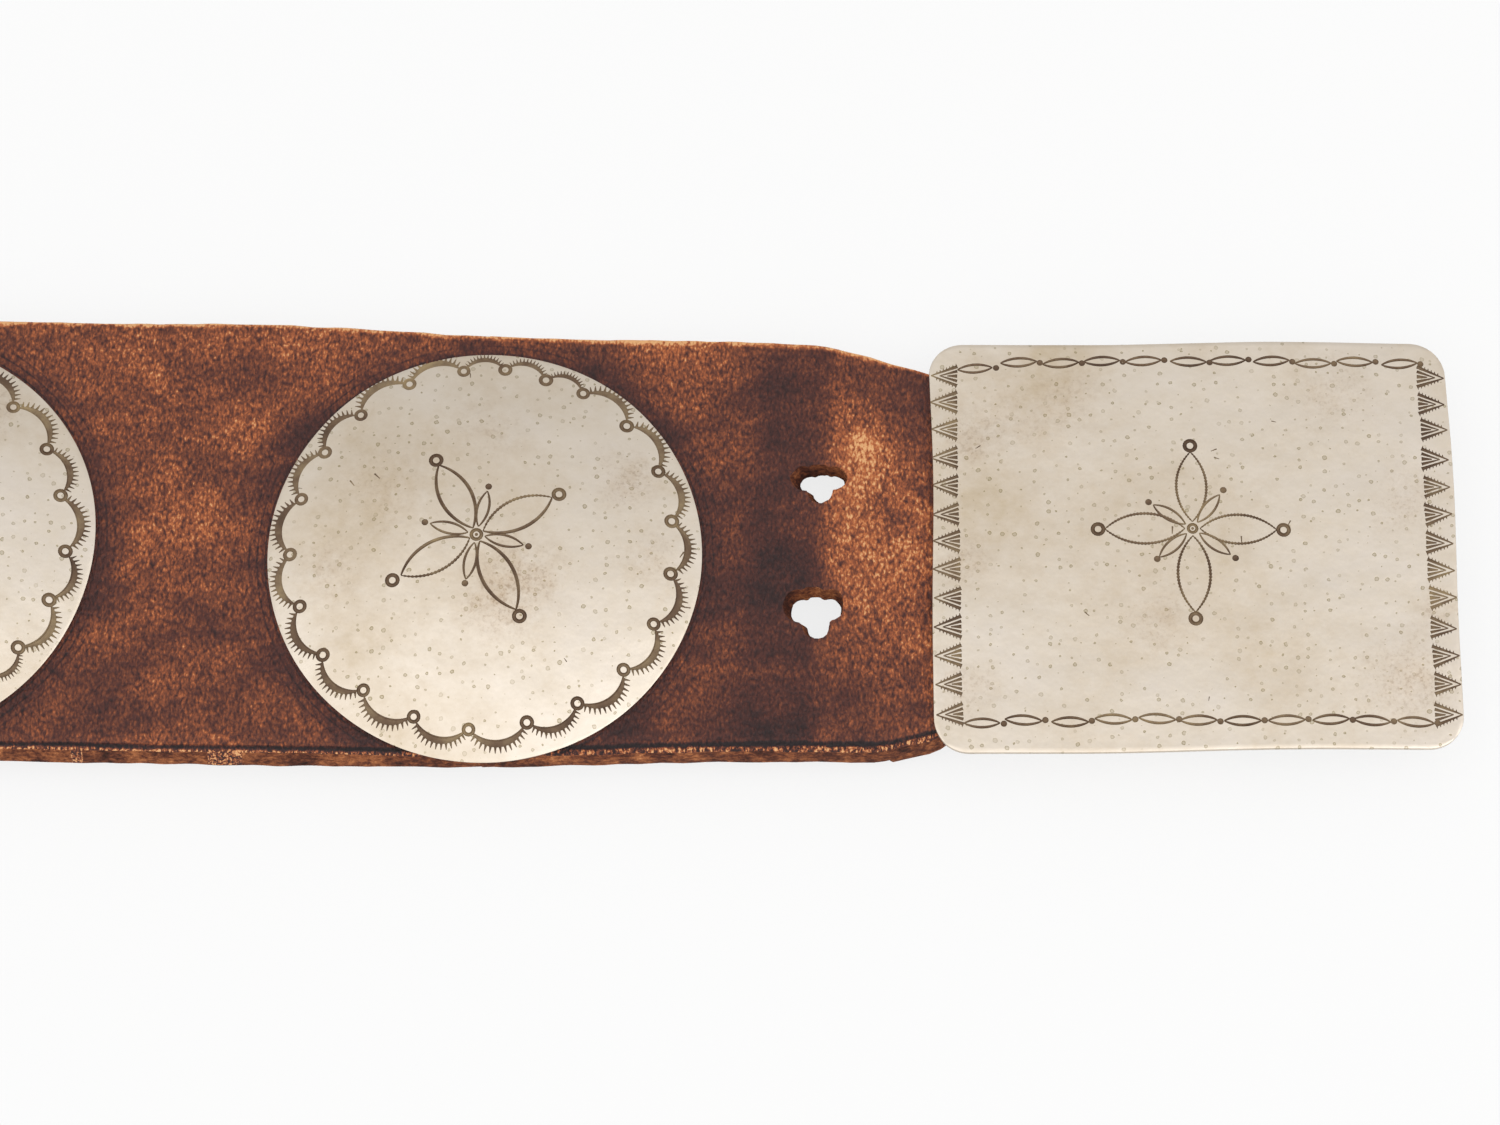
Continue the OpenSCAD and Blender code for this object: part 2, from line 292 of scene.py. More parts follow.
def shade(piece, degrees):
    """Smooth faces, with an edge kept wherever they meet at more than this angle."""
    pick_out(piece)
    bpy.ops.object.shade_smooth_by_angle(angle=math.radians(degrees))


def cut_away(piece, cutter):
    """Cuts one closed shape out of a piece, which keeps the cutter's finish in the cut."""
    pick_out(piece)
    cut = piece.modifiers.new("cut", "BOOLEAN")
    cut.operation, cut.object, cut.solver = "DIFFERENCE", cutter, "MANIFOLD"
    cut.material_mode = "TRANSFER"
    bpy.ops.object.modifier_apply(modifier="cut")
    bpy.data.objects.remove(cutter)


# The grain side, waxed and darkened by handling: reddish brown, orange where the high spots
# are worn through and nearly black in the valleys. The pebbles are about 0.7 mm long
# and 1.2 mm wide across the strap. Where the strap has been bent and rubbed, and the painted
# shade round each concho, is laid out on each piece as attributes: the overall tone, and how
# far a point is from each edge and a concho.
grain = bare_finish("waxed_cowhide_grain")
tree = grain.node_tree
where = add(tree, "TexCoord").outputs["Object"]
laid_out = add(tree, "Attribute", attribute_name="tone").outputs["Fac"]
from_upper = add(tree, "Attribute", attribute_name="from_upper").outputs["Fac"]
from_lower = add(tree, "Attribute", attribute_name="from_lower").outputs["Fac"]
from_concho = add(tree, "Attribute", attribute_name="from_concho").outputs["Fac"]
stretch = add(tree, "Mapping", {"Vector": where, "Rotation": (0, 0, 0.12), "Scale": (1.1, 0.62, 1)})
warp = add(tree, "TexNoise", {"Vector": stretch, "Scale": 700, "Detail": 2}).outputs["Color"]
bent = add(tree, "Mix", {"Factor": 0.0009, 6: stretch, 7: warp}, data_type="RGBA",
           blend_type="ADD").outputs[2]
pebble = add(tree, "TexVoronoi", {"Vector": bent, "Scale": 1350, "Smoothness": 0.4},
             feature="SMOOTH_F1").outputs["Distance"]
fold = add(tree, "TexNoise", {"Vector": bent, "Scale": 1500, "Detail": 3,
           "Roughness": 0.6}).outputs["Fac"]
blotch = add(tree, "TexNoise", {"Vector": where, "Scale": 38, "Detail": 9,
             "Roughness": 0.70, "Distortion": 0.5}).outputs["Fac"]
streak_way = add(tree, "Mapping", {"Vector": where, "Scale": (0.4, 1, 1)})
streak = add(tree, "TexNoise", {"Vector": streak_way, "Scale": 150, "Detail": 6,
             "Roughness": 0.65}).outputs["Fac"]
tone = add(tree, "Math", {0: blotch, 1: 0.95, 2: laid_out}, operation="MULTIPLY_ADD")
tone = add(tree, "Math", {0: streak, 1: 0.50, 2: tone}, operation="MULTIPLY_ADD")
tone = add(tree, "Math", {0: tone, 1: 0.575}, operation="SUBTRACT")
fine = add(tree, "Math", {0: fold, 1: 1.05, 2: -0.30}, operation="MULTIPLY_ADD")
fine = add(tree, "Math", {0: pebble, 1: -0.50, 2: fine}, operation="MULTIPLY_ADD")
# Dark waxed leather hides its pebbles; worn leather shows them.
shown = add(tree, "MapRange", {"Value": tone, "From Min": 0.22, "From Max": 0.60,
            "To Min": 0.40, "To Max": 1.10})
tone = add(tree, "Math", {0: fine, 1: shown, 2: tone}, operation="MULTIPLY_ADD")
# Creases pressed round each concho by its rim, 2 mm apart and soon lost, drawn only as lines of painted
# shade.
crease_shade = add(tree, "Math", {0: from_concho, 1: 3300.0}, operation="MULTIPLY")
crease_shade = add(tree, "Math", {0: crease_shade}, operation="SINE")
crease_shade = add(tree, "MapRange", {"Value": crease_shade, "From Min": 0.55, "From Max": 1.0})
fading = add(tree, "MapRange", {"Value": from_concho, "From Min": 0.0015, "From Max": 0.0075,
             "To Min": 0.26, "To Max": 0.0})
broken = add(tree, "MapRange", {"Value": blotch, "From Min": 0.42, "From Max": 0.60})
fading = add(tree, "Math", {0: fading, 1: broken}, operation="MULTIPLY")
crease_shade = add(tree, "Math", {0: crease_shade, 1: fading}, operation="MULTIPLY")
tone = add(tree, "Math", {0: tone, 1: crease_shade}, operation="SUBTRACT")
# The line pressed beside the lower edge is painted dark; outside it the grain is chafed.
gap = add(tree, "Math", {0: from_lower, 1: -0.0031}, operation="ADD")
gap = add(tree, "Math", {0: streak, 1: 0.0016, 2: gap}, operation="MULTIPLY_ADD")
gap = add(tree, "Math", {0: gap, 1: -0.0008}, operation="ADD")
side = add(tree, "Math", {0: gap}, operation="ABSOLUTE")
line = add(tree, "MapRange", {"Value": side, "From Min": 0.0002, "From Max": 0.0008,
           "To Min": 0.42, "To Max": 0.0})
tone = add(tree, "Math", {0: tone, 1: line}, operation="SUBTRACT")
outside = add(tree, "MapRange", {"Value": gap, "From Min": -0.0009, "From Max": -0.0003,
              "To Min": 1.0, "To Max": 0.0})
fleck = add(tree, "MapRange", {"Value": fold, "From Min": 0.44, "From Max": 0.62,
            "To Min": -0.10, "To Max": 0.55})
chafe = add(tree, "Math", {0: outside, 1: fleck}, operation="MULTIPLY")
tone = add(tree, "Math", {0: tone, 1: chafe}, operation="ADD")
# The upper edge is rubbed in patches to a tan line, 1 mm wide.
rubbed = add(tree, "Math", {0: streak, 1: -0.0030, 2: from_upper}, operation="MULTIPLY_ADD")
rubbed = add(tree, "MapRange", {"Value": rubbed, "From Min": -0.0012, "From Max": 0.0,
             "To Min": 0.50, "To Max": 0.0})
tone = add(tree, "Math", {0: tone, 1: rubbed}, operation="ADD")
colour = add(tree, "ValToRGB", {0: tone}, stops=[
    (0.0, "#1d1213"), (1.0, "#f0b57c"), (0.16, "#361c1a"), (0.34, "#552b22"), (0.50, "#764029"),
    (0.64, "#985231"), (0.80, "#c4703f")]).outputs["Color"]
shine = add(tree, "MapRange", {"Value": fold, "From Min": 0.3, "From Max": 0.7, "To Min": 0.62,
            "To Max": 0.42})
relief = add(tree, "Math", {0: pebble, 1: -0.9, 2: fold}, operation="MULTIPLY_ADD")
bump = add(tree, "Bump", {"Height": relief, "Strength": 0.75, "Distance": 0.0004})
skin = add(tree, "BsdfPrincipled", {"Base Color": colour, "Roughness": shine, "Normal": bump,
           "Specular IOR Level": 0.34})
add(tree, "OutputMaterial", {"Surface": skin})

# Raw cut edge: pale tan fibre, browned by wax and dirt, combed along the cut.
raw = bare_finish("raw_cut_leather")
tree = raw.node_tree
where = add(tree, "TexCoord").outputs["Object"]
along = add(tree, "Mapping", {"Vector": where, "Scale": (0.5, 1, 1)})
fibre = add(tree, "TexNoise", {"Vector": along, "Scale": 1300, "Detail": 6,
            "Roughness": 0.75}).outputs["Fac"]
dirt = add(tree, "TexNoise", {"Vector": where, "Scale": 120, "Detail": 7,
           "Roughness": 0.7}).outputs["Fac"]
mixed = add(tree, "Math", {0: fibre, 1: 0.85, 2: dirt}, operation="MULTIPLY_ADD")
mixed = add(tree, "Math", {0: mixed, 1: 0.20}, operation="SUBTRACT")
colour = add(tree, "ValToRGB", {0: mixed}, stops=[
    (0.52, "#2a1812"), (1.0, "#e0a06c"), (0.67, "#5c3225"), (0.79, "#8f5435"), (0.90, "#bd774a")]
    ).outputs["Color"]
bump = add(tree, "Bump", {"Height": fibre, "Strength": 0.8, "Distance": 0.0005})
skin = add(tree, "BsdfPrincipled", {"Base Color": colour, "Roughness": 0.85, "Normal": bump,
           "Specular IOR Level": 0.25})
add(tree, "OutputMaterial", {"Surface": skin})

# Flesh side: short suede nap, darkened where it rubs.
flesh = bare_finish("suede_flesh_side")
tree = flesh.node_tree
where = add(tree, "TexCoord").outputs["Object"]
nap = add(tree, "TexNoise", {"Vector": where, "Scale": 1300, "Detail": 3}).outputs["Fac"]
rubbed = add(tree, "TexNoise", {"Vector": where, "Scale": 30, "Detail": 7,
             "Roughness": 0.65}).outputs["Fac"]
mixed = add(tree, "Math", {0: nap, 1: 0.4, 2: rubbed}, operation="MULTIPLY_ADD")
colour = add(tree, "ValToRGB", {0: mixed}, stops=[
    (0.4, "#3d2619"), (1.0, "#a5744d"), (0.62, "#6b4529"), (0.8, "#875a39")]).outputs["Color"]
bump = add(tree, "Bump", {"Height": nap, "Strength": 0.7, "Distance": 0.0004})
skin = add(tree, "BsdfPrincipled", {"Base Color": colour, "Roughness": 0.95, "Normal": bump,
           "Specular IOR Level": 0.15, "Sheen Weight": 0.35, "Sheen Roughness": 0.5,
           "Sheen Tint": linear("#c89a70")})
add(tree, "OutputMaterial", {"Surface": skin})


def concho_gap(x, y):
    """How far a point is outside the rim of the nearest concho."""
    return min(math.hypot(x - at_x, y - at_y) for at_x, at_y in concho_middles) - concho_radius


def wear_and_shade_at(x, y):
    """How dark or worn the grain side is: darker round each concho's rim as painted shade with burnished
    leather, darker towards the lower edge, and worn where the strap has been handled.
    """
    tone = 0.36
    x += 0.0022 * noise.noise(Vector((x * 110, y * 110, 5)))
    y += 0.0022 * noise.noise(Vector((x * 110, y * 110, 9)))
    # Darker round each concho's rim: painted shade from the dome, with the leather burnished there too.
    near = max(concho_gap(x, y), 0)
    tone -= 0.15 * math.exp(-(near / 0.0050) ** 2) + 0.05 * math.exp(-near / 0.012)
    lower, upper = strap_edges(x)
    tone += 0.08 * math.exp(-((upper - y) / 0.008) ** 2)
    tone -= 0.05 * (1 - eased(y, -0.042, -0.025))
    # Beside the tie holes: stiff and dark on the strap's side, rubbed bare towards the buckle.
    tone -= 0.09 * eased(x, tie_x - 0.036, tie_x - 0.018) * (1 - eased(x, tie_x + 0.002, tie_x + 0.012))
    lean = 0.06 * y
    tone -= 0.15 * eased(x - lean, tie_x - 0.019, tie_x - 0.013) * \
        (1 - eased(x - lean, tie_x - 0.001, tie_x + 0.003))
    for at_x, at_y, wide, high, much in ((0.0092, 0.0225, 0.0080, 0.0115, 0.30),
                                         (0.0060, 0.004, 0.0055, 0.0100, 0.24),
                                         (0.0160, -0.002, 0.0100, 0.0110, 0.16),
                                         (0.0070, -0.013, 0.0050, 0.0070, 0.16),
                                         (0.0150, 0.041, 0.0120, 0.0090, -0.08)):
        tone += much * math.exp(-((x - tie_x - at_x) / wide) ** 2 - ((y - at_y) / high) ** 2)
    return tone


def finish_hide(piece):
    """Sorts faces into grain, cut edge and flesh side, and lays the wear and the painted shade round the
    conchos over the grain.
    """
    mesh = piece.data
    for material in (grain, raw, flesh):
        if mesh.materials.find(material.name) < 0:
            mesh.materials.append(material)
    order = [mesh.materials.find(m.name) for m in (grain, raw, flesh)]
    turn_z = (leather_top + end_low[2]) / 2
    for face in mesh.polygons:
        x, y, z = face.center
        up = face.normal.z
        turned = x > heel_x - 0.031
        round_bar = x > heel_x and math.hypot(x - heel_x, z - turn_z) > 0.0046
        outside = turned and (z < span_low[2] - 0.0019 or round_bar)
        if up > 0.45 and z > strap_middle(x):
            face.material_index = order[0]
        elif outside and abs(face.normal.y) < 0.5:
            face.material_index = order[0]
        elif up < -0.45 or (turned and abs(face.normal.y) < 0.3 and z < leather_top - 0.001):
            face.material_index = order[2]
        else:
            face.material_index = order[1]
    for name, value in (("tone", wear_and_shade_at), ("from_concho", concho_gap),
                        ("from_upper", lambda x, y: strap_edges(x)[1] - y),
                        ("from_lower", lambda x, y: y - strap_edges(x)[0])):
        laid = mesh.attributes.new(name, "FLOAT", "POINT")
        laid.data.foreach_set("value", [value(v.co.x, v.co.y) for v in mesh.vertices])
    shade(piece, 40)


def cut_slot(piece, at, size):
    """Cuts a square-cornered slot through a piece."""
    bpy.ops.object.select_all(action="DESELECT")
    bpy.ops.mesh.primitive_cube_add(size=1, location=at)
    slot = bpy.context.object
    slot.data.transform(Matrix.Diagonal((*size, 1)))
    cut_away(piece, slot)


strap_bodies = ["strap_end"] + [f"span_{i}" for i in range(1, 7)] + ["ramp", "tail"]
strap_nodes = ["strap_buckle_end"] + [f"strap_{body}" for body in strap_bodies[1:]]
seams = [x for x, y in concho_middles] + [(ramp_top + ramp_foot) / 2, tail_low[0]]
strap_pieces = []
for k, seam in enumerate(seams):
    if k == 0:
        # Turned back round the heel bar: over it, and forward again as a skived flap.
        low_z, top_z = end_low[2], leather_top
        turn = (top_z - low_z) / 2
        inner = bar_radius + 0.0001
        tops = strap_run(seam, heel_x)
        outline = [(x, top_z) for x in tops]
        outline += [(heel_x + turn * math.sin(a), low_z + turn + turn * math.cos(a))
                    for a in [math.pi * j / 14 for j in range(1, 14)]]
        outline += [(heel_x, low_z), (heel_x - 0.0012, low_z), (heel_x - 0.0078, span_low[2] - 0.002),
                    (heel_x - 0.018, span_low[2] - 0.002), (heel_x - 0.029, span_low[2] - 0.0018),
                    (heel_x - 0.0298, span_low[2] - 0.0002), (heel_x - 0.018, span_low[2] - 0.00015),
                    (heel_x - 0.0072, span_low[2] - 0.00015), (heel_x - 0.0014, heel_z - inner + 0.0003)]
        outline += [(heel_x + inner * math.sin(a), heel_z - inner * math.cos(a))
                    for a in [math.pi * j / 12 for j in range(0, 13)]]
        outline += [(x, span_low[2]) for x in reversed(tops[:-1])]
    else:
        run = strap_run(seams[k - 1], seam)
        if k == len(seams) - 1:
            run = [seam + (seams[k - 1] - seam) * (1 - math.cos(math.pi / 2 * j / 62)) ** 0.85
                   for j in range(62, -1, -1)]
        outline = [(x, strap_middle(x) + hide / 2) for x in run]
        outline += [(x, strap_middle(x) - hide / 2) for x in reversed(run)]
    joins = ([seams[k - 1]] if k > 0 else []) + ([seam] if k < len(seams) - 1 else [])
    piece = cut_hide(f"strap_leather_{k + 1}", outline, joins)
    # Slots for the two legs of each loop that this length takes a share of.
    for middle in concho_middles[max(k - 1, 0):k + 1]:
        for side in (-1, 1):
            cut_slot(piece, (middle[0], middle[1] + side * 0.0118, flat_middle), (0.0094, 0.0024, 0.009))
    strap_pieces.append(piece)

# Slots that the tongues stand in, cut right through the turned end.
for side in tongue_sides:
    cut_slot(strap_pieces[0], (heel_x - 0.0051 + 0.008, side, 0.006), (0.016, 0.0066, 0.02))

# Tie holes: a three-lobed punch, torn wider with use, so that the mouth is wider than the back.
for shift, side, wide, tall, skew, torn in ((0.0, 0.0160, 1.0, 0.94, 0.0, 0.26),
                                            (-0.0014, -0.0160, 1.06, 1.24, 0.4, 0.20)):
    bpy.ops.object.select_all(action="DESELECT")
    bpy.ops.mesh.primitive_circle_add(vertices=56, radius=1, fill_type="NGON",
                                      location=(tie_x + shift, side, span_low[2] - 0.001))
    hole = bpy.context.object
    bpy.ops.object.mode_set(mode="EDIT")
    bpy.ops.mesh.select_all(action="SELECT")
    for rise in (0.0012, 0.0034, 0.0018):
        bpy.ops.mesh.extrude_region_move(TRANSFORM_OT_translate={"value": (0, 0, rise)})
    bpy.ops.mesh.select_all(action="SELECT")
    bpy.ops.mesh.normals_make_consistent(inside=False)
    bpy.ops.object.mode_set(mode="OBJECT")
    # Each lobe as x, y and radius, in millimetres.
    lobes = ((0.0, 0.6, 4.3), (-3.6, 1.0, 3.3), (3.7, 1.2, 3.2), (0.2 + skew, -2.6, 3.1))
    for vertex in hole.data.vertices:
        angle = math.atan2(vertex.co.y, vertex.co.x)
        reach = 0
        for lobe_x, lobe_y, lobe in lobes:
            ahead = lobe_x * math.cos(angle) + lobe_y * math.sin(angle)
            aside = lobe_x * math.sin(angle) - lobe_y * math.cos(angle)
            if abs(aside) < lobe:
                reach = max(reach, ahead + math.sqrt(lobe * lobe - aside * aside))
        reach *= 0.001 * (1 + 0.07 * noise.noise(Vector((angle * 4, side * 900, vertex.co.z * 300))))
        mouth = 1 - torn * (1 - eased(vertex.co.z, 0.0012, 0.0062))
        vertex.co.x = reach * math.cos(angle) * wide * mouth + 0.0045 * (1 - mouth)
        vertex.co.y = reach * math.sin(angle) * tall * mouth
    cut_away(strap_pieces[0], hole)

# Five pairs of plain round holes in the tail, for the tongues.
first_pair, pair_pitch = 0.024, 0.025
for pair in range(5):
    pair_x = tail_low[0] + first_pair + pair_pitch * pair
    for side in tongue_sides:
        bpy.ops.object.select_all(action="DESELECT")
        bpy.ops.mesh.primitive_cylinder_add(vertices=28, radius=0.003, depth=0.012,
                                            location=(pair_x, side, hide / 2))
        cut_away(strap_pieces[-1], bpy.context.object)

for k, piece in enumerate(strap_pieces):
    finish_hide(piece)
    reach = 0.009 if k == 0 else 0.017
    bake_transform(piece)
    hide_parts(strap_nodes[k])
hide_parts("strap_tail")


# Conchos.
# Six rounds of nickel silver sheet, 1.2 mm thick, domed over a hollow in a stake and
# stamped by hand with punches: a flower of eight petals, and a border of toothed crescents
# with a ring at each cusp. The dark in the marks is tarnish left when the face was rubbed,
# and painted shade in the cuts.

def metal_waves(x, y, key):
    """The slight unevenness that hammering leaves, in metres."""
    broad = noise.noise(Vector((x * 32, y * 32, key * 7.3)))
    return 0.00022 * broad + 0.00009 * noise.noise(Vector((x * 85, y * 85, key * 3.1)))


def dome_height(x, y, key):
    """Outer face over the leather, about a concho's own middle."""
    curve = 0.1932
    fall = curve - math.sqrt(curve ** 2 - min(x * x + y * y, 0.0026))
    return leather_top + 0.0078 - fall + metal_waves(x, y, key)


def squared_round(u, v):
    """Takes a square's point, -1 to 1 each way, to the round that fits in it."""
    return u * math.sqrt(1 - v * v / 2), v * math.sqrt(1 - u * u / 2)


def arc_rod(radius, middle, start, sweep, half_wide, deep, steps, thin, roped=0.0):
    """A rod bent to an arc and thinned to its ends: the cutting edge of a curved punch."""
    bpy.ops.object.select_all(action="DESELECT")
    first = (middle[0] + radius * math.cos(start), middle[1] + radius * math.sin(start), 0)
    bpy.ops.mesh.primitive_circle_add(vertices=6, radius=half_wide, fill_type="NGON",
                                      location=first, rotation=(math.pi / 2, 0, start))
    rod = bpy.context.object
    bpy.ops.object.transform_apply()
    bpy.ops.object.mode_set(mode="EDIT")
    bpy.ops.mesh.select_all(action="SELECT")
    bpy.ops.mesh.spin(steps=steps, angle=-sweep, center=(middle[0], middle[1], 0), axis=(0, 0, 1))
    bpy.ops.mesh.select_all(action="SELECT")
    bpy.ops.mesh.normals_make_consistent(inside=False)
    bpy.ops.object.mode_set(mode="OBJECT")
    for vertex in rod.data.vertices:
        x, y, z = vertex.co.x - middle[0], vertex.co.y - middle[1], vertex.co.z
        turn = (math.atan2(y, x) - start) % (2 * math.pi)
        if turn > math.pi + sweep / 2:
            turn -= 2 * math.pi
        share = min(max(turn / sweep, 0), 1)
        fat = thin + (1 - thin) * max(math.sin(math.pi * share), 0) ** 0.6
        fat *= 1 - roped * (round(share * steps) % 2)
        out = (math.hypot(x, y) - radius) * fat
        way = Vector((x, y, 0)).normalized()
        vertex.co = Vector((*middle, 0)) + way * (radius + out)
        vertex.co.z = z / half_wide * deep * (0.5 + 0.5 * fat) + deep * 0.15
    return rod


def punch_ring(across, half_wide, deep):
    """A tube's end: stamps a ring."""
    bpy.ops.object.select_all(action="DESELECT")
    bpy.ops.mesh.primitive_torus_add(major_radius=across, minor_radius=half_wide,
                                     major_segments=18, minor_segments=6)
    ring = bpy.context.object
    ring.data.transform(Matrix.Diagonal((1, 1, deep / half_wide, 1)))
    return ring


def punch_dot(across, deep):
    """A blunt round punch."""
    bpy.ops.object.select_all(action="DESELECT")
    bpy.ops.mesh.primitive_uv_sphere_add(segments=12, ring_count=6, radius=across)
    dot = bpy.context.object
    dot.data.transform(Matrix.Diagonal((1, 1, deep / across, 1)))
    return dot


def four_sided(at, turn, long, wide, deep, foot=1, tip=0.25):
    """A four-sided edge on its side, from at along its turned Y; foot and tip are shares of wide."""
    bpy.ops.object.select_all(action="DESELECT")
    bpy.ops.mesh.primitive_cone_add(vertices=4, radius1=foot, radius2=tip, depth=1)
    edge = bpy.context.object
    edge.data.transform(Matrix.Translation((at[0], at[1], 0)) @ Matrix.Rotation(turn, 4, "Z")
                        @ Matrix.Diagonal((wide, long, deep, 1))
                        @ Matrix.Rotation(math.radians(-90), 4, "X") @ Matrix.Translation((0, 0, 0.5))
                        @ Matrix.Rotation(math.radians(45), 4, "Z"))
    return edge


def one_punch(name, parts):
    """Fuses a punch's edges into one closed mesh and takes it off the bench."""
    first = parts[0]
    for part in parts[1:]:
        pick_out(first)
        fuse = first.modifiers.new("fuse", "BOOLEAN")
        fuse.operation, fuse.object, fuse.solver = "UNION", part, "MANIFOLD"
        bpy.ops.object.modifier_apply(modifier="fuse")
        bpy.data.objects.remove(part)
    mesh = first.data
    bpy.data.objects.remove(first)
    mesh.name = name
    return mesh


def arc_over(chord, bulge):
    """Radius and half angle of the arc that stands over a chord by bulge."""
    radius = (chord ** 2 / 4 + bulge ** 2) / (2 * bulge)
    return radius, math.asin(chord / 2 / radius)


def lens(long, wide, half_wide, deep, steps, base, roped=(0.0, 0.0)):
    """Two arcs back to back: a petal that starts at base and runs out along Y."""
    bulge = wide / 2
    radius, half = arc_over(long, bulge)
    return [arc_rod(radius, (side * (radius - bulge), base + long / 2),
                    (math.pi if side > 0 else 0) - half, 2 * half, half_wide, deep, steps, 0.4, rope)
            for side, rope in zip((-1, 1), roped)]


# Punches of the concho: sizes are those of the marks, in metres.
petal_long, petal_wide, petal_base = 0.0184, 0.0074, 0.0018
petal_punch = one_punch("petal", lens(petal_long, petal_wide, 0.00050, 0.00042, 24, petal_base))
roped = lens(petal_long, petal_wide, 0.00048, 0.00042, 52, petal_base, (0.45, 0.45))
roped_petal_punch = one_punch("roped_petal", roped)
half_roped = lens(petal_long, petal_wide, 0.00050, 0.00040, 44, petal_base, (0.0, 0.45))
half_roped_petal_punch = one_punch("half_roped_petal", half_roped)
small_petal_punch = one_punch("small_petal", lens(0.0092, 0.0027, 0.00036, 0.00032, 14, 0.0020))
ring_punch = one_punch("ring", [punch_ring(0.00120, 0.00046, 0.00042)])
eye_punch = one_punch("eye", [punch_ring(0.00118, 0.00044, 0.00042), punch_dot(0.00040, 0.00026)])
dot_punch = one_punch("dot", [punch_dot(0.00080, 0.00040)])
# Crescent punch: a thin inner line and a fat outer band that meet at the horns, and 13 teeth.
chord, band_bulge, band_half = 0.0121, 0.00345, 0.00084
edges = []
for bulge, half_wide, deep, thin in ((band_bulge, band_half, 0.00032, 0.12),
                                     (0.0026, 0.00024, 0.00026, 0.5)):
    curve, half = arc_over(chord, bulge)
    edges.append(arc_rod(curve, (0, bulge - curve), math.pi / 2 - half, 2 * half, half_wide, deep,
                         18, thin))
curve, half = arc_over(chord, band_bulge)
for k in range(13):
    share = (k + 0.5) / 13
    turn = (share - 0.5) * half * 1.86
    foot = curve + band_half * (0.12 + 0.88 * math.sin(math.pi * (share * 0.93 + 0.035)) ** 0.6) - 0.00020
    root = (-foot * math.sin(turn), band_bulge - curve + foot * math.cos(turn))
    edges.append(four_sided(root, turn * 0.9, 0.00150, 0.00048, 0.00036))
crescent_punch = one_punch("crescent", edges)

# Nickel silver, hand rubbed: pale and warm, a soft sheen, clouded with yellow-brown
# tarnish and freckled with shallow greenish-brown specks up to 1.2 mm across.
nickel = bare_finish("rubbed_nickel_silver")
tree = nickel.node_tree
where = add(tree, "TexCoord").outputs["Object"]
cloud = add(tree, "TexNoise", {"Vector": where, "Scale": 24, "Detail": 6, "Roughness": 0.6,
            "Distortion": 0.3}).outputs["Fac"]
mottle = add(tree, "TexNoise", {"Vector": where, "Scale": 260, "Detail": 5,
             "Roughness": 0.7}).outputs["Fac"]
mixed = add(tree, "Math", {0: mottle, 1: 0.34, 2: cloud}, operation="MULTIPLY_ADD")
face = add(tree, "ValToRGB", {0: mixed}, stops=[
    (0.46, "#e6dbce"), (1.05, "#c0aa8a"), (0.64, "#e0d4c4"), (0.78, "#d8cab7"), (0.91, "#cebea6")]
    ).outputs["Color"]
# Specks: rounds of tarnish, the larger ones with a paler middle. There is one to about every
# 7 square millimetres, but a third of them are too small to show.
jitter = add(tree, "TexNoise", {"Vector": where, "Scale": 1500, "Detail": 2}).outputs["Color"]
rough_edge = add(tree, "Mix", {"Factor": 0.0005, 6: where, 7: jitter}, data_type="RGBA",
                 blend_type="ADD").outputs[2]
speck = add(tree, "TexVoronoi", {"Vector": rough_edge, "Scale": 370, "Randomness": 1.0},
            voronoi_dimensions="2D")
chance = add(tree, "SeparateColor", {"Color": speck.outputs["Color"]})
size = add(tree, "MapRange", {"Value": chance.outputs["Red"], "From Min": 0.32, "From Max": 1.0,
           "To Min": 0.03, "To Max": 0.22})
inside = add(tree, "Math", {0: size, 1: speck.outputs["Distance"]}, operation="SUBTRACT")
spot = add(tree, "MapRange", {"Value": inside, "From Min": 0.0, "From Max": 0.035})
hollow = add(tree, "MapRange", {"Value": inside, "From Min": 0.05, "From Max": 0.10,
             "To Min": 1.0, "To Max": 0.45})
depth = add(tree, "MapRange", {"Value": chance.outputs["Green"], "To Min": 0.35, "To Max": 0.9})
strength = add(tree, "Math", {0: spot, 1: hollow}, operation="MULTIPLY")
strength = add(tree, "Math", {0: strength, 1: depth}, operation="MULTIPLY")
speckled = add(tree, "Mix", {"Factor": strength, 6: face, 7: linear("#93855f")},
               data_type="RGBA").outputs[2]
# Stains: clouds of fine brown points where old polish has stayed, laid out on each piece.
grit = add(tree, "TexNoise", {"Vector": where, "Scale": 1100, "Detail": 3,
           "Roughness": 0.6}).outputs["Fac"]
grit = add(tree, "MapRange", {"Value": grit, "From Min": 0.50, "From Max": 0.64})
laid = add(tree, "Attribute", attribute_name="stain").outputs["Fac"]
patch = add(tree, "MapRange", {"Value": mottle, "From Min": 0.30, "From Max": 0.65,
            "To Min": 0.25, "To Max": 1.0})
patch = add(tree, "Math", {0: laid, 1: patch}, operation="MULTIPLY")
veil = add(tree, "Math", {0: patch, 1: 0.45}, operation="MULTIPLY")
clouded = add(tree, "Mix", {"Factor": veil, 6: speckled, 7: linear("#b89c7c")},
              data_type="RGBA").outputs[2]
stain = add(tree, "Math", {0: grit, 1: patch}, operation="MULTIPLY")
stain = add(tree, "Math", {0: stain, 1: 0.6}, operation="MULTIPLY")
stained = add(tree, "Mix", {"Factor": stain, 6: clouded, 7: linear("#8f7458")},
              data_type="RGBA").outputs[2]
dull = add(tree, "MapRange", {"Value": mixed, "From Min": 0.5, "From Max": 0.95,
           "To Min": 0.33, "To Max": 0.50})
planish = add(tree, "TexNoise", {"Vector": where, "Scale": 70, "Detail": 4,
              "Roughness": 0.6}).outputs["Fac"]
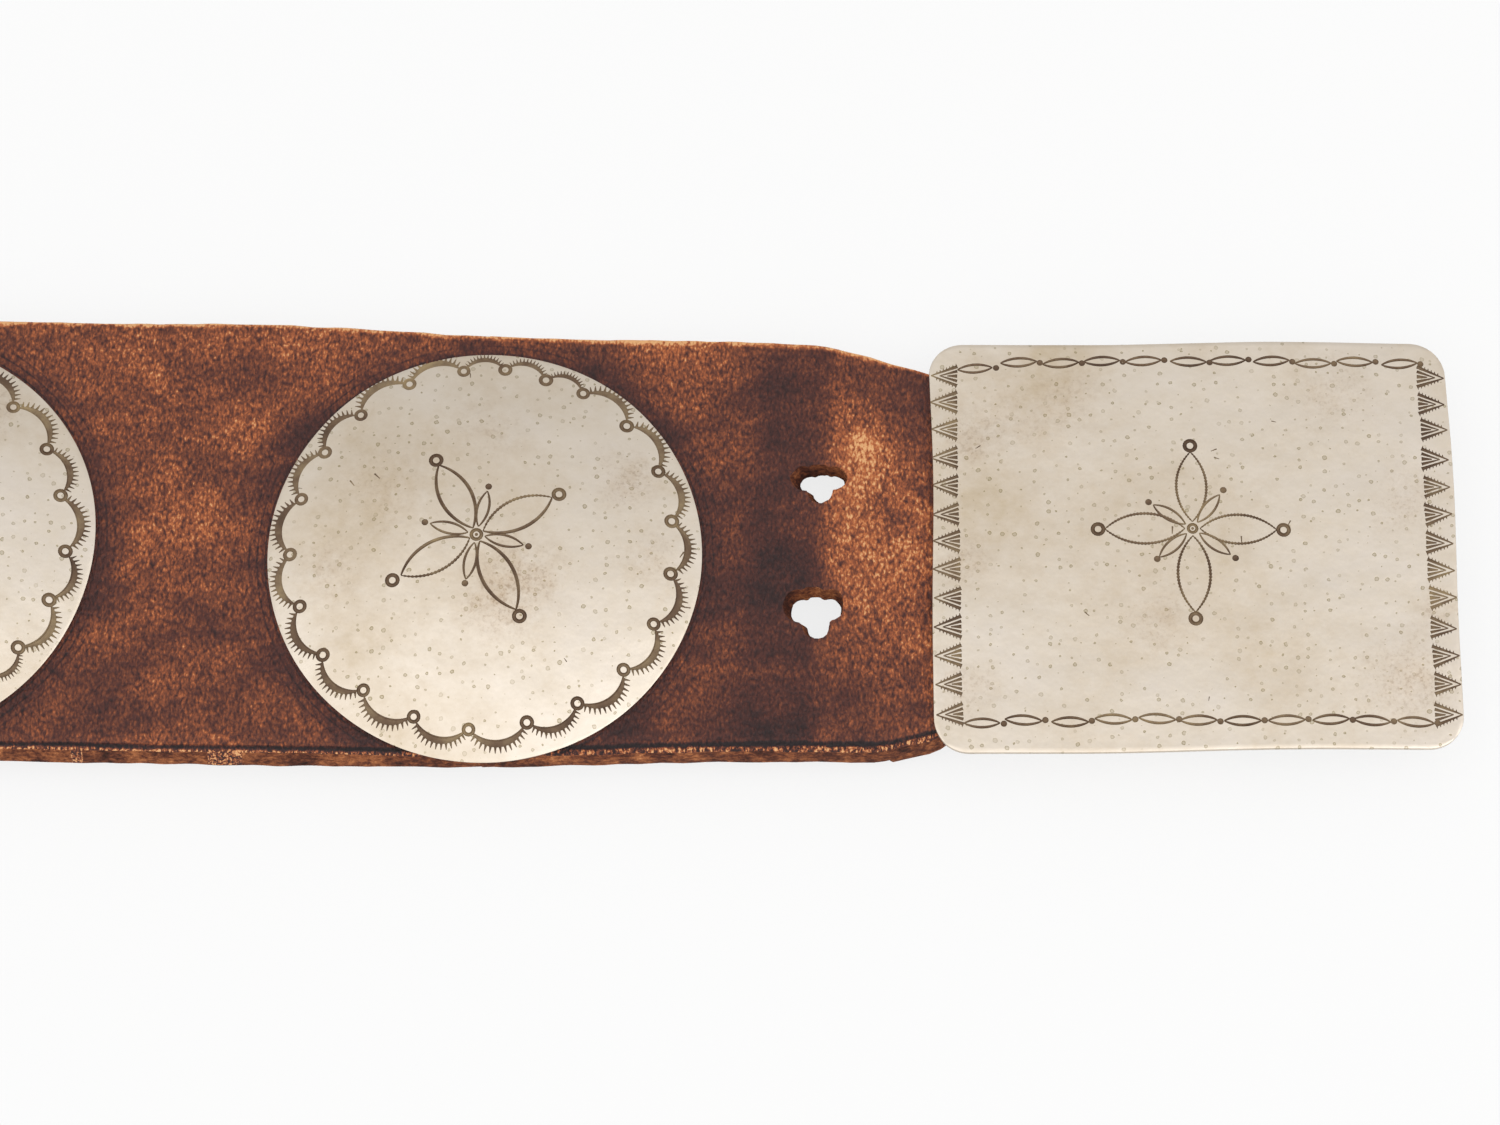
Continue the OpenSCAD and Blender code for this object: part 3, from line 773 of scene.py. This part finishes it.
low = add(tree, "Math", {0: strength, 1: -0.10, 2: planish}, operation="MULTIPLY_ADD")
bump = add(tree, "Bump", {"Height": low, "Strength": 0.45, "Distance": 0.0007})
skin = add(tree, "BsdfPrincipled", {"Base Color": stained, "Metallic": 1.0, "Roughness": dull,
           "Normal": bump})
add(tree, "OutputMaterial", {"Surface": skin})

# Old tarnish in the bottom of the marks, darkened further as painted shade: brown-black, dull, a little
# metal showing.
mark_tarnish_and_shade = bare_finish("tarnish_and_shade_in_stamped_marks")
tree = mark_tarnish_and_shade.node_tree
where = add(tree, "TexCoord").outputs["Object"]
crust = add(tree, "TexNoise", {"Vector": where, "Scale": 60, "Detail": 5,
            "Roughness": 0.7}).outputs["Fac"]
colour = add(tree, "ValToRGB", {0: crust}, stops=[
    (0.34, "#5a4535"), (0.70, "#a8926d"), (0.46, "#715a45"), (0.57, "#8b765b")]).outputs["Color"]
skin = add(tree, "BsdfPrincipled", {"Base Color": colour, "Metallic": 0.45, "Roughness": 0.6})
add(tree, "OutputMaterial", {"Surface": skin})


def strike(marks, punch, at, turn, size=1.0, press=1.0):
    """Notes one blow: the punch, where it lands, which way it is turned and how hard."""
    marks.append((punch, Matrix.Translation((at[0], at[1], 0)) @ Matrix.Rotation(turn, 4, "Z")
                  @ Matrix.Diagonal((size, size, press, 1))))


def ahead(middle, turn, reach):
    """The place at this distance from a middle, the way that a punch turned this far points."""
    return middle[0] - reach * math.sin(turn), middle[1] + reach * math.cos(turn)


def stamped(piece, marks, middle, height):
    """Lays every blow on the sheet's face and cuts those of one punch at a time."""
    for punch in dict.fromkeys(kind for kind, _ in marks):
        faces, points = [], []
        for place in [place for kind, place in marks if kind == punch]:
            first = len(points)
            for vertex in punch.vertices:
                x, y, z = place @ vertex.co
                points.append((middle[0] + x, middle[1] + y, height(x, y) + z))
            faces += [[first + corner for corner in face.vertices] for face in punch.polygons]
        block = bpy.data.meshes.new("marks")
        block.from_pydata(points, [], faces)
        # The cuts take the dark finish: tarnish together with painted shade.
        block.materials.append(mark_tarnish_and_shade)
        cutter = bpy.data.objects.new("marks", block)
        scene.collection.objects.link(cutter)
        cut_away(piece, cutter)


def lay_stains(piece, middle, clouds):
    """Writes where a face is stained, from clouds of (x, y, radius, strength)."""
    values = []
    for vertex in piece.data.vertices:
        x, y = vertex.co.x - middle[0], vertex.co.y - middle[1]
        wander = 0.003 * noise.noise(Vector((x * 130, y * 130, 4)))
        values.append(sum(much * math.exp(-((math.hypot(x - at_x, y - at_y) + wander) / wide) ** 2)
                          for at_x, at_y, wide, much in clouds))
    piece.data.attributes.new("stain", "FLOAT", "POINT").data.foreach_set("value", values)


def narrow_bar(start, stop, wide, deep, narrow=0.5):
    """A straight chisel edge from start to stop, finer at its start."""
    way = Vector((stop[0] - start[0], stop[1] - start[1]))
    return four_sided(start, math.atan2(-way.x, way.y), way.length, wide, deep, narrow, 1)


nick_punch = one_punch("nick", [narrow_bar((-0.0007, 0), (0.0007, 0.0001), 0.00022, 0.00016)])


def concho_marks(key):
    """The order of work of one concho; each comes out a little different."""
    hand = random.Random(41 + key)
    marks = []
    # Flower, its middle set by eye.
    flower = (-0.0017, 0.0027)
    if key != 1:
        flower = (hand.uniform(-0.002, 0.002), hand.uniform(-0.001, 0.003))
    turn = math.radians(-61.5 if key == 1 else hand.uniform(-90, 0))
    strike(marks, eye_punch, flower, 0)
    for k in range(4):
        at = turn + math.pi / 2 * k + math.radians(hand.uniform(-1.2, 1.2))
        punch = half_roped_petal_punch if k in (0, 2) else petal_punch
        strike(marks, punch, flower, at, 1.0 + hand.uniform(-0.02, 0.02), hand.uniform(0.85, 1.1))
        reach = 0.0219 + hand.uniform(-0.0005, 0.0005)
        strike(marks, ring_punch, ahead(flower, at, reach),
               hand.uniform(0, 6), 1.05, hand.uniform(0.9, 1.1))
        at += math.radians(47.5 + hand.uniform(-2, 2))
        strike(marks, small_petal_punch, flower, at, 1.0, hand.uniform(0.85, 1.1))
        reach = 0.0124 + hand.uniform(-0.0003, 0.0003)
        strike(marks, dot_punch, ahead(flower, at, reach), 0)
    # Border: 22 rings round from the upper right, the last three closed up to meet the first.
    middle = (-0.0004, 0.0015)
    if key != 1:
        middle = (hand.uniform(-0.001, 0.001), hand.uniform(-0.001, 0.0015))
    first = math.radians(59.4 if key == 1 else hand.uniform(0, 360))
    steps = [16.96] * 19 + [12.6] * 3
    angles = [first - math.radians(sum(steps[:k])) for k in range(22)]
    rings = []
    for angle in angles:
        reach = 0.0446 + hand.uniform(-0.0005, 0.0005)
        angle += math.radians(hand.uniform(-0.6, 0.6))
        rings.append(Vector((middle[0] + reach * math.cos(angle), middle[1] + reach * math.sin(angle))))
    for k, ring in enumerate(rings):
        # The upper left of the face is the most rubbed, so its marks are the faintest.
        worn = 0.60 + 0.40 * eased(ring.x - ring.y, -0.050, 0.010)
        strike(marks, ring_punch, ring, hand.uniform(0, 6), 1.0 + hand.uniform(-0.04, 0.06),
               worn * hand.uniform(0.85, 1.15))
        after = rings[(k + 1) % 22]
        across = after - ring
        out = Vector((ring.y - after.y, after.x - ring.x)).normalized()
        if out.dot(ring) < 0:
            out = -out
        spot = (ring + after) / 2 + out * 0.00075
        squeeze = min(1.0, (across.length - 0.0016) / 0.0121)
        strike(marks, crescent_punch, spot,
               math.atan2(-out.x, out.y) + math.radians(hand.uniform(-2.5, 2.5)),
               squeeze, worn * hand.uniform(0.85, 1.2))
    # Slips of the tool.
    for _ in range(7):
        angle, reach = hand.uniform(0, 6.28), hand.uniform(0.030, 0.049)
        strike(marks, nick_punch, (reach * math.cos(angle), reach * math.sin(angle)),
               angle + hand.uniform(-1, 1), hand.uniform(0.6, 1.3))
    return marks


def concho_stains(key):
    """Clouds of stain: beside the flower and towards the rim."""
    if key == 1:
        return [(0.0085, -0.0085, 0.0085, 0.9), (0.0020, -0.0160, 0.0060, 0.6),
                (0.0330, 0.0170, 0.0060, 0.8), (-0.0230, 0.0150, 0.0090, 0.35),
                (-0.0360, -0.0040, 0.0070, 0.4),
                (0.0380, -0.0020, 0.0060, 0.4), (0.0010, 0.0300, 0.0080, 0.3)]
    hand = random.Random(90 + key)
    return [(hand.uniform(-0.035, 0.035), hand.uniform(-0.035, 0.035), hand.uniform(0.005, 0.010),
             hand.uniform(0.3, 0.9)) for _ in range(6)]


def make_sheet(piece, thick, filed_off):
    """Gives a domed face the thickness of its sheet, files its edges and sets its metal."""
    sheet = piece.modifiers.new("sheet", "SOLIDIFY")
    sheet.thickness, sheet.offset = thick, -1
    bpy.ops.object.modifier_apply(modifier="sheet")
    filed = piece.modifiers.new("filed", "BEVEL")
    filed.width, filed.segments, filed.limit_method = filed_off, 2, "ANGLE"
    filed.angle_limit = math.radians(50)
    bpy.ops.object.modifier_apply(modifier="filed")
    piece.data.materials.append(nickel)


for key, (middle_x, middle_y) in enumerate(concho_middles, 1):
    bpy.ops.object.select_all(action="DESELECT")
    bpy.ops.mesh.primitive_grid_add(x_subdivisions=84, y_subdivisions=84, size=2)
    concho = bpy.context.object
    concho.name = f"stamped_concho_{key}"
    for vertex in concho.data.vertices:
        x, y = squared_round(vertex.co.x, vertex.co.y)
        angle = math.atan2(y, x)
        # Snipped round by eye, so the edge wanders by a few tenths.
        way = Vector((math.cos(angle) * 1.6, math.sin(angle) * 1.6, key))
        trim = 0.0506 + 0.00035 * noise.noise(way)
        x, y = x * trim, y * trim
        vertex.co = (x, y, dome_height(x, y, key))
    concho.data.transform(Matrix.Translation((middle_x, middle_y, 0)))
    make_sheet(concho, 0.0012, 0.0003)
    stamped(concho, concho_marks(key), (middle_x, middle_y), lambda x, y: dome_height(x, y, key))
    lay_stains(concho, (middle_x, middle_y), concho_stains(key))
    shade(concho, 28)
    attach(concho, f"span_{key}")
    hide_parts(f"concho_{key}")


# Buckle plate.
# A rectangle of the same metal, 1.4 mm thick, its corners filed round and its middle
# crowned. Feather punches run down the short sides, lenses and dots along the long ones.

plate_middle = ((plate_low[0] + plate_high[0]) / 2 - 0.0006, 0.0)
plate_half = ((plate_high[0] - plate_low[0]) / 2 - 0.0004, (plate_high[1] - plate_low[1]) / 2)
plate_top_z = plate_high[2]


def plate_height(x, y):
    """Outer face, about the plate's own middle."""
    crown = 0.0014 * (x / plate_half[0]) ** 2 + 0.0009 * (y / plate_half[1]) ** 2
    return plate_top_z - 0.00025 - crown + 1.3 * metal_waves(x, y, 9)


# Feather punch: chevrons that fan from a point along +Y, with notched outer edges.
long, half = 0.0066, 0.0026
edges = [narrow_bar((0, 0.0026), (0, 0.0001), 0.00072, 0.00038, 0.3)]
for side in (-1, 1):
    edges.append(narrow_bar((0, long), (side * half, 0.0001), 0.00062, 0.00042, 0.35))
    edges.append(narrow_bar((0, 0.0045), (side * 0.00135, 0.0001), 0.00056, 0.00040, 0.3))
    for k in range(7):
        up = long * (0.06 + 0.12 * k)
        root = (side * ((long - up) / long * half + 0.0001), up)
        edges.append(four_sided(root, math.radians(-side * 84), 0.00085 - 0.00004 * k, 0.00032, 0.0003))
feather_punch = one_punch("feather", edges)
lens_punch = one_punch("lens", lens(0.0086, 0.0021, 0.00040, 0.00038, 16, -0.0043))

bpy.ops.object.select_all(action="DESELECT")
bpy.ops.mesh.primitive_grid_add(x_subdivisions=104, y_subdivisions=86, size=2)
plate = bpy.context.object
plate.name = "stamped_buckle_plate"
corner = 0.0083
for vertex in plate.data.vertices:
    x, y = vertex.co.x * plate_half[0], vertex.co.y * plate_half[1]
    u = (abs(x) - plate_half[0] + corner) / corner
    v = (abs(y) - plate_half[1] + corner) / corner
    if u > 0 and v > 0:
        u, v = squared_round(u, v)
        x = math.copysign(plate_half[0] - corner + u * corner, x)
        y = math.copysign(plate_half[1] - corner + v * corner, y)
    # The sides were cut by eye: each bows or leans by up to a millimetre.
    edge_x = 0.00045 * math.sin(y * 34 + 1.1) + 0.0002 * math.sin(y * 95)
    edge_y = 0.00040 * math.sin(x * 27 - 0.6) + 0.0002 * math.sin(x * 80)
    edge_y += 0.006 * x if y < 0 else 0
    near_x, near_y = (abs(x) / plate_half[0]) ** 3, (abs(y) / plate_half[1]) ** 3
    x += edge_x * near_x - 0.0004 * math.copysign(1, x) * near_x
    y += edge_y * near_y - 0.0003 * math.copysign(1, y) * near_y
    vertex.co = (x, y, plate_height(x, y))
plate.data.transform(Matrix.Translation((plate_middle[0], plate_middle[1], 0)))
make_sheet(plate, 0.0014, 0.0004)

hand = random.Random(7)
marks = []
flower = (-0.0001, 0.0031)
strike(marks, eye_punch, flower, 0, 0.85)
for k, reach in enumerate((0.0208, 0.0220, 0.0222, 0.0212)):
    at = math.pi / 2 * k + math.radians(hand.uniform(-0.8, 0.8))
    strike(marks, roped_petal_punch, flower, at, (reach - 0.0016) / 0.0202, hand.uniform(0.85, 1.05))
    strike(marks, ring_punch, ahead(flower, at, reach), 0, 1.05)
for degrees, reach in ((-38, 0.0122), (57, 0.0120), (132, 0.0114), (-127, 0.0122)):
    at = math.radians(degrees)
    strike(marks, small_petal_punch, flower, at, 0.96, hand.uniform(0.85, 1.05))
    strike(marks, dot_punch, ahead(flower, at, reach), 0)
for side in (-1, 1):
    for k in range(13):
        y = 0.0422 - 0.0070 * k + hand.uniform(-0.0003, 0.0003)
        base = side * (plate_half[0] - 0.0071) + hand.uniform(-0.0002, 0.0002)
        strike(marks, feather_punch, (base, y), -side * math.pi / 2 + math.radians(hand.uniform(-3, 3)),
               0.96 + hand.uniform(-0.03, 0.03), hand.uniform(0.8, 1.1))
    drop = 0.0453 if side > 0 else -0.0436
    for k in range(11):
        x = -0.0500 + 0.01000 * k + hand.uniform(-0.0004, 0.0004)
        y = drop + hand.uniform(-0.0004, 0.0004) - (0.0014 if side > 0 and k == 0 else 0)
        strike(marks, lens_punch, (x, y), math.pi / 2 + math.radians(hand.uniform(-5, 5)),
               1.0 - (0.04 if k == 0 else 0), hand.uniform(0.75, 1.1))
        strike(marks, dot_punch, (x + 0.0050, y + hand.uniform(-0.0003, 0.0003)), 0, 0.95)
for _ in range(9):
    strike(marks, nick_punch, (hand.uniform(-0.05, 0.05), hand.uniform(-0.04, 0.04)), hand.uniform(0, 3),
           hand.uniform(0.6, 1.4))
stamped(plate, marks, plate_middle, plate_height)
lay_stains(plate, plate_middle, [(-0.0530, -0.005, 0.0050, 0.55), (-0.0530, 0.025, 0.0050, 0.45),
                                 (-0.0520, -0.036, 0.0060, 0.55), (0.0480, -0.034, 0.0090, 0.75),
                                 (-0.0080, -0.019, 0.0070, 0.45), (-0.0290, 0.036, 0.0070, 0.45),
                                 (-0.0440, 0.030, 0.0080, 0.40), (0.0500, 0.010, 0.0070, 0.45),
                                 (0.0340, 0.038, 0.0080, 0.40), (0.0560, -0.016, 0.0050, 0.40)])
shade(plate, 28)
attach(plate, "buckle")
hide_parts("buckle_plate")


# Loops, keepers, bars, tongues and rivets.
# Each concho has a U of copper strip soldered inside its dome, and an offcut of hide
# pushed through it holds it to the strap. The buckle's cheeks are nickel silver, its bars
# and tongues copper rod, and the turned end is held by three copper rivets and burrs.

# Copper, browned by years of handling, brighter where it rubs.
copper = bare_finish("browned_copper")
tree = copper.node_tree
where = add(tree, "TexCoord").outputs["Object"]
patina = add(tree, "TexNoise", {"Vector": where, "Scale": 140, "Detail": 7,
             "Roughness": 0.7}).outputs["Fac"]
colour = add(tree, "ValToRGB", {0: patina}, stops=[
    (0.3, "#4a2c20"), (0.72, "#c47f58"), (0.45, "#7c4a32"), (0.58, "#9f6043")]).outputs["Color"]
file_way = add(tree, "Mapping", {"Vector": where, "Scale": (1, 0.05, 1)})
filing = add(tree, "TexNoise", {"Vector": file_way, "Scale": 3000, "Detail": 2}).outputs["Fac"]
bump = add(tree, "Bump", {"Height": filing, "Strength": 0.3, "Distance": 0.0002})
shine = add(tree, "MapRange", {"Value": patina, "From Min": 0.3, "From Max": 0.7,
            "To Min": 0.6, "To Max": 0.36})
skin = add(tree, "BsdfPrincipled", {"Base Color": colour, "Metallic": 1.0, "Roughness": shine,
           "Normal": bump})
add(tree, "OutputMaterial", {"Surface": skin})

# Nickel silver as it was filed and soldered, never rubbed: darker and streaked.
filed_nickel = bare_finish("filed_nickel_silver")
tree = filed_nickel.node_tree
where = add(tree, "TexCoord").outputs["Object"]
soot = add(tree, "TexNoise", {"Vector": where, "Scale": 90, "Detail": 6,
           "Roughness": 0.65}).outputs["Fac"]
colour = add(tree, "ValToRGB", {0: soot}, stops=[
    (0.32, "#6f6350"), (0.7, "#c9bca6"), (0.5, "#a3957d")]).outputs["Color"]
file_way = add(tree, "Mapping", {"Vector": where, "Scale": (0.04, 1, 1)})
filing = add(tree, "TexNoise", {"Vector": file_way, "Scale": 2600, "Detail": 2}).outputs["Fac"]
bump = add(tree, "Bump", {"Height": filing, "Strength": 0.3, "Distance": 0.0002})
skin = add(tree, "BsdfPrincipled", {"Base Color": colour, "Metallic": 1.0, "Roughness": 0.48,
           "Normal": bump})
add(tree, "OutputMaterial", {"Surface": skin})

for name, item in frame["nodes"].items():
    if name.startswith(("concho_loop", "tongue", "heel_bar", "outer_bar", "fold_rivets", "rivet_burrs")):
        finish = copper
    elif name.startswith("cheek"):
        finish = filed_nickel
    elif name.startswith("loop_keeper"):
        finish = flesh
    else:
        continue
    part = bpy.data.objects[item] if isinstance(item, str) else item
    for socket in part.material_slots:
        socket.material = finish
